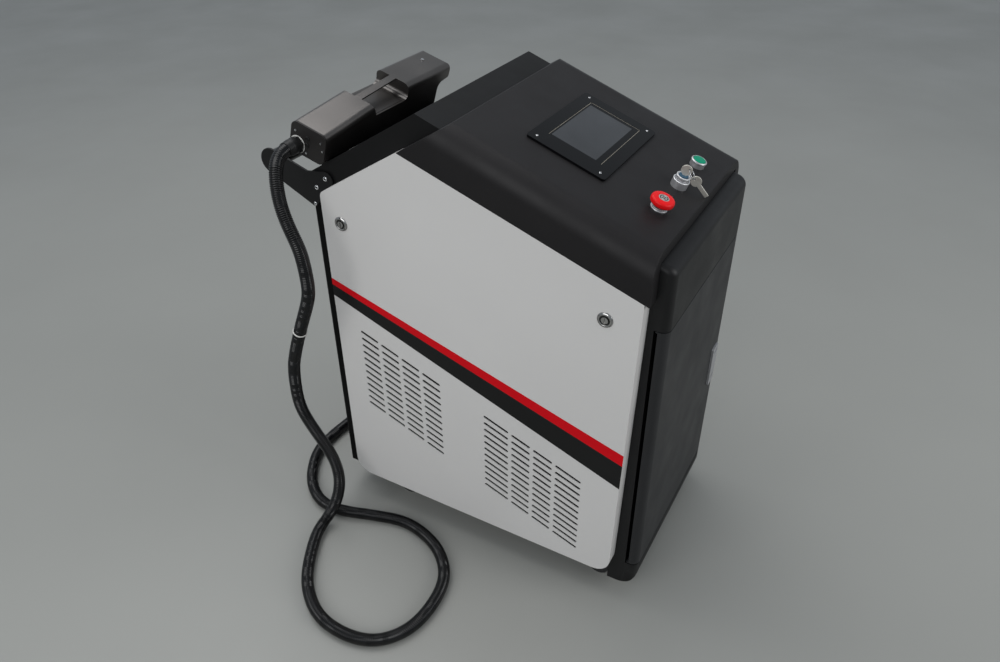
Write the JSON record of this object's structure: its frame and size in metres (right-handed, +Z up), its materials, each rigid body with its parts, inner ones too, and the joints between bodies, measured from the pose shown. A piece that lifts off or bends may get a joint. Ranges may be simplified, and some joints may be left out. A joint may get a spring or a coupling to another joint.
{
  "type": "laser cleaning machine",
  "caption": "Wheeled floor cabinet with a sloping control deck, a rear push handle and a hand-held cleaning gun on a ribbed hose resting behind the deck.",
  "frame": {"origin": "on the ground under the middle of the cabinet with its handle, hose left out", "axes": "+Z up, -Y to the front with the door, +X across to the right"},
  "size_m": [0.7924, 0.8395, 0.9162],
  "materials": {
    "panel_white": "satin",
    "deck_black": "satin",
    "case_black": "satin",
    "door_grey": "satin",
    "stripe_red": "satin",
    "stripe_black": "satin",
    "chrome": "polished",
    "steel": "brushed",
    "zinc": "satin",
    "screen_black": "gloss",
    "screen_glass": "gloss",
    "stop_red": "satin",
    "dark_plastic": "matte",
    "start_green": "gloss",
    "key_blue": "satin",
    "key_brass": "satin",
    "gun_grey": "satin",
    "lens_glass": "gloss",
    "switch_red": "satin",
    "hose_black": "matte",
    "wheel_black": "matte",
    "bar_black": "satin"
  },
  "bodies": {
    "cabinet": {"chassis_frame": "case_black", "rear_panel": "case_black", "rear_cover": "case_black", "deck_cover": "deck_black", "front_housing": "case_black", "door_pivots": "steel", "left_side_panel": "panel_white", "right_side_panel": "panel_white", "stripe_red": "stripe_red", "stripe_black": "stripe_black", "cam_lock_housings": "chrome", "screen_bezel": "screen_black", "screen_glass": "screen_glass", "cover_screws": "zinc", "estop_collar": "chrome", "start_bezel": "chrome", "key_switch_body": "chrome", "handle_plates": "case_black", "handle_bar": "bar_black", "gun_cradle": "dark_plastic", "hose_upper": "hose_black", "hose_lower": "hose_black", "hose_tie": "zinc", "hose_gland": "dark_plastic", "caster_plates": "zinc", "laser_source": "steel", "power_supply": "steel", "fan_frame": "dark_plastic", "power_inlet": "dark_plastic"},
    "door": {"front_door": "door_grey", "latch_body": "chrome"},
    "latch_paddle": {"latch_paddle": "chrome"},
    "cam_lock_1": {"cam_lock_core_1": "steel"},
    "cam_lock_2": {"cam_lock_core_2": "steel"},
    "cam_lock_3": {"cam_lock_core_3": "steel"},
    "cam_lock_4": {"cam_lock_core_4": "steel"},
    "estop_plunger": {"estop_stem": "dark_plastic"},
    "estop_knob": {"estop_head": "stop_red"},
    "start_button": {"start_cap": "start_green"},
    "key": {"key_switch_core": "key_blue", "switch_key": "key_brass"},
    "ring": {"key_ring": "zinc", "spare_key": "key_brass"},
    "gun": {"gun_body": "gun_grey", "gun_cover_plate": "gun_grey", "gun_end_plate": "dark_plastic", "gun_screws": "zinc", "gun_lens": "lens_glass", "gun_hose_nut": "dark_plastic"},
    "trigger": {"gun_trigger": "switch_red"},
    "fan": {"fan_rotor": "dark_plastic"},
    "mains_rocker": {"main_switch": "switch_red"},
    "caster_1": {"caster_fork_1": "zinc"},
    "wheel_1": {"caster_wheel_1": "wheel_black"},
    "caster_2": {"caster_fork_2": "zinc"},
    "wheel_2": {"caster_wheel_2": "wheel_black"},
    "caster_3": {"caster_fork_3": "zinc"},
    "wheel_3": {"caster_wheel_3": "wheel_black"},
    "caster_4": {"caster_fork_4": "zinc"},
    "wheel_4": {"caster_wheel_4": "wheel_black"}
  },
  "joints": [
    {"name": "door_hinge", "type": "hinge", "parent": "cabinet", "child": "door", "pos_m": [-0.193, -0.3885, 0.4], "axis": [0, 0, -1], "range_deg": [0, 95]},
    {"name": "latch_lift", "type": "hinge", "parent": "door", "child": "latch_paddle", "pos_m": [0.159, -0.407, 0.37904], "axis": [-1, 0, 0], "range_deg": [0, 45], "stiffness_Nm_per_rad": 0.05},
    {"name": "cam_lock_turn_1", "type": "hinge", "parent": "cabinet", "child": "cam_lock_1", "pos_m": [-0.225, 0.205, 0.69417], "axis": [1, 0, 0], "range_deg": [0, 90]},
    {"name": "cam_lock_turn_2", "type": "hinge", "parent": "cabinet", "child": "cam_lock_2", "pos_m": [-0.225, -0.312, 0.6535], "axis": [1, 0, 0], "range_deg": [0, 90]},
    {"name": "cam_lock_turn_3", "type": "hinge", "parent": "cabinet", "child": "cam_lock_3", "pos_m": [0.225, 0.205, 0.69417], "axis": [-1, 0, 0], "range_deg": [0, 90]},
    {"name": "cam_lock_turn_4", "type": "hinge", "parent": "cabinet", "child": "cam_lock_4", "pos_m": [0.225, -0.312, 0.6535], "axis": [-1, 0, 0], "range_deg": [0, 90]},
    {"name": "estop_push", "type": "slide", "parent": "cabinet", "child": "estop_plunger", "axis": [0, 0.342, -0.9397], "range_m": [0, 0.004], "stiffness_N_per_m": 400, "springref_m": -0.002},
    {"name": "estop_twist", "type": "hinge", "parent": "estop_plunger", "child": "estop_knob", "pos_m": [-0.0915, -0.33937, 0.80566], "axis": [0, 0.342, -0.9397], "range_deg": [0, 45], "stiffness_Nm_per_rad": 0.05},
    {"name": "start_push", "type": "slide", "parent": "cabinet", "child": "start_button", "axis": [0, 0.342, -0.9397], "range_m": [0, 0.003], "stiffness_N_per_m": 400, "springref_m": -0.001},
    {"name": "key_turn", "type": "hinge", "parent": "cabinet", "child": "key", "pos_m": [0.001, -0.33937, 0.80566], "axis": [0, 0.342, -0.9397], "range_deg": [0, 90]},
    {"name": "ring_swing", "type": "hinge", "parent": "key", "child": "ring", "pos_m": [0.00183, -0.35144, 0.82738], "axis": [-0.9781, -0.1954, -0.0711], "range_deg": [0, 50]},
    {"name": "gun_lift", "type": "slide", "parent": "cabinet", "child": "gun", "axis": [0, -0.284, 0.9588], "range_m": [0, 0.06]},
    {"name": "trigger_press", "type": "slide", "parent": "gun", "child": "trigger", "axis": [0, -0.9588, -0.284], "range_m": [0, 0.004], "stiffness_N_per_m": 400, "springref_m": -0.001},
    {"name": "caster_swivel_1", "type": "hinge", "parent": "cabinet", "child": "caster_1", "pos_m": [-0.168, -0.306, 0.05], "axis": [0, 0, 1], "continuous": true},
    {"name": "wheel_roll_1", "type": "hinge", "parent": "caster_1", "child": "wheel_1", "pos_m": [-0.168, -0.322, 0.022], "axis": [1, 0, 0], "continuous": true},
    {"name": "caster_swivel_2", "type": "hinge", "parent": "cabinet", "child": "caster_2", "pos_m": [0.168, -0.306, 0.05], "axis": [0, 0, 1], "continuous": true},
    {"name": "wheel_roll_2", "type": "hinge", "parent": "caster_2", "child": "wheel_2", "pos_m": [0.168, -0.322, 0.022], "axis": [1, 0, 0], "continuous": true},
    {"name": "caster_swivel_3", "type": "hinge", "parent": "cabinet", "child": "caster_3", "pos_m": [-0.168, 0.165, 0.05], "axis": [0, 0, 1], "continuous": true},
    {"name": "wheel_roll_3", "type": "hinge", "parent": "caster_3", "child": "wheel_3", "pos_m": [-0.168, 0.149, 0.022], "axis": [1, 0, 0], "continuous": true},
    {"name": "caster_swivel_4", "type": "hinge", "parent": "cabinet", "child": "caster_4", "pos_m": [0.168, 0.165, 0.05], "axis": [0, 0, 1], "continuous": true},
    {"name": "wheel_roll_4", "type": "hinge", "parent": "caster_4", "child": "wheel_4", "pos_m": [0.168, 0.149, 0.022], "axis": [1, 0, 0], "continuous": true},
    {"name": "fan_spin", "type": "hinge", "parent": "cabinet", "child": "fan", "pos_m": [-0.107, 0.272, 0.388], "axis": [0, 1, 0], "continuous": true},
    {"name": "mains_rocker_tilt", "type": "hinge", "parent": "cabinet", "child": "mains_rocker", "pos_m": [-0.133, 0.287, 0.163], "axis": [-1, 0, 0], "range_deg": [0, 20]}
  ]
}
